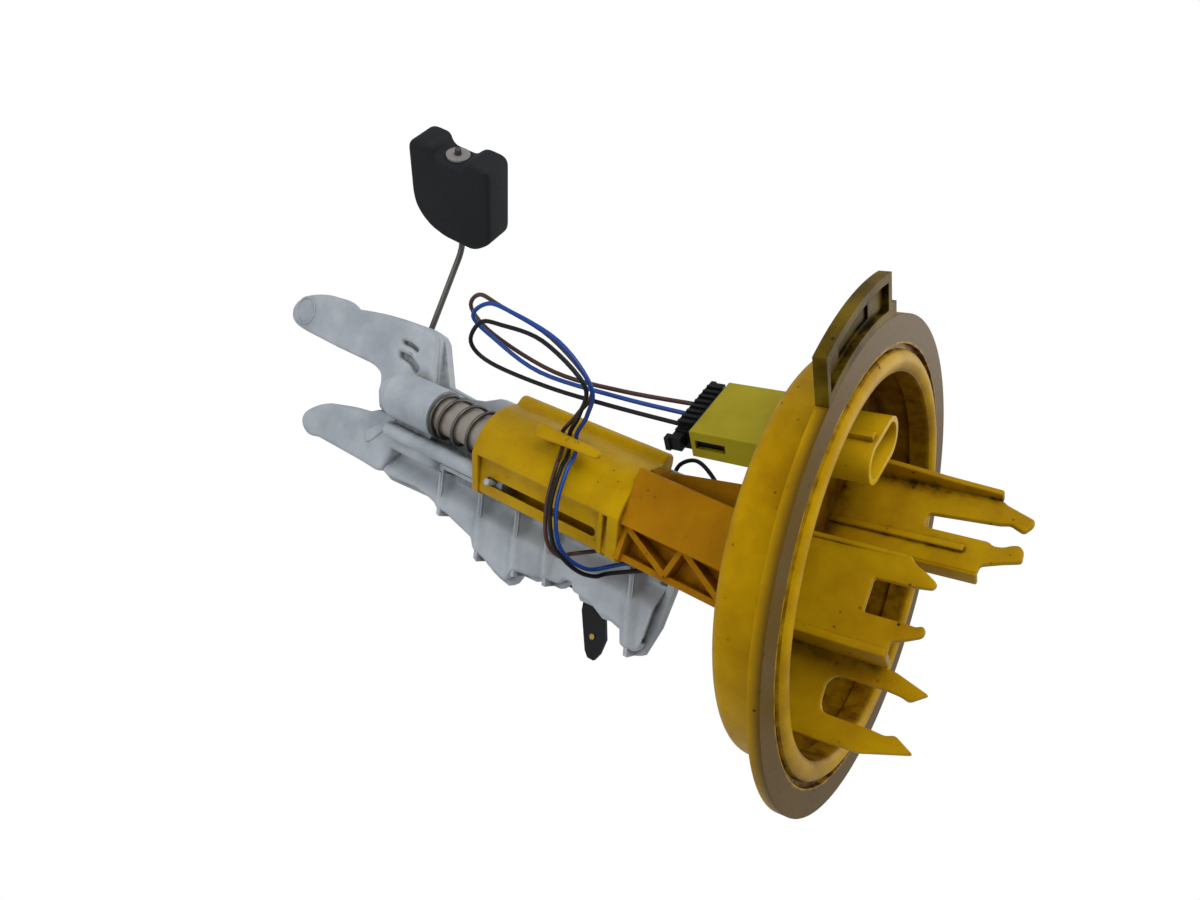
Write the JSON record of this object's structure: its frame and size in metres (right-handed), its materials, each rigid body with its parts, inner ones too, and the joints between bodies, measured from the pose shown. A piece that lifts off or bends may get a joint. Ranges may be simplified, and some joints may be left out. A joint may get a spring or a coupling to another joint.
{
  "type": "fuel tank sending unit",
  "caption": "Fuel tank sender: round flange cup with connectors and line combs, leaning lattice column, spring-loaded footed carrier, lever-arm level sensor and float.",
  "frame": {"origin": "centre of the flange rim's front face", "axes": "+Z along the flange axis, out of the tank; +X towards the side the column's foot end leans away from; +Y towards the carrier's back, where the float swings"},
  "size_m": [0.1824, 0.13, 0.2874],
  "materials": {
    "flange_plastic": "satin",
    "carrier_plastic": "satin",
    "black_plastic": "satin",
    "spring_steel": "satin",
    "terminal_brass": "satin",
    "card_ceramic": "matt",
    "float_foam": "matt",
    "brown_insulation": "satin",
    "blue_insulation": "satin",
    "black_insulation": "satin"
  },
  "bodies": {
    "flange": {"flange_cup": "flange_plastic", "rim_tab": "flange_plastic", "support_column": "flange_plastic", "spring_housing": "flange_plastic", "wire_hook": "flange_plastic", "harness_socket": "flange_plastic", "connector_shroud": "flange_plastic", "line_comb_upper": "flange_plastic", "line_comb_middle": "flange_plastic", "line_comb_lower": "flange_plastic", "connector_terminals": "terminal_brass", "harness_plug": "black_plastic", "plug_latches": "black_plastic", "pressure_spring": "spring_steel", "brown_wire": "brown_insulation", "blue_wire": "blue_insulation", "black_wire": "black_insulation"},
    "carrier": {"carrier_plate": "carrier_plastic", "carrier_yoke": "carrier_plastic", "guide_rod": "carrier_plastic", "upper_foot": "carrier_plastic", "lower_foot": "carrier_plastic", "stop_pin": "carrier_plastic", "sensor_housing": "black_plastic", "sensor_paddle": "black_plastic", "resistor_card": "card_ceramic", "contact_rivets": "terminal_brass", "sensor_terminals": "terminal_brass"},
    "float_arm": {"float_lever": "black_plastic", "pivot_pin": "spring_steel", "wiper_contacts": "terminal_brass", "float_wire": "spring_steel", "float_retainer": "spring_steel"},
    "float_body": {"float": "float_foam"}
  },
  "joints": [
    {"name": "carrier_slide", "type": "slide", "parent": "flange", "child": "carrier", "axis": [0.1564, 0, 0.9877], "range_m": [0, 0.025], "stiffness_N_per_m": 250, "springref_m": -0.02, "deforming": ["pressure_spring", "brown_wire", "blue_wire", "black_wire"]},
    {"name": "arm_hinge", "type": "hinge", "parent": "carrier", "child": "float_arm", "pos_m": [0.01255, 0.028, -0.11177], "axis": [0, 1, 0], "range_deg": [0, 66]},
    {"name": "float_swivel", "type": "hinge", "parent": "float_arm", "child": "float_body", "pos_m": [-0.07921, 0.0286, -0.18756], "axis": [-0.6541, -0.6613, 0.3671], "continuous": true}
  ]
}
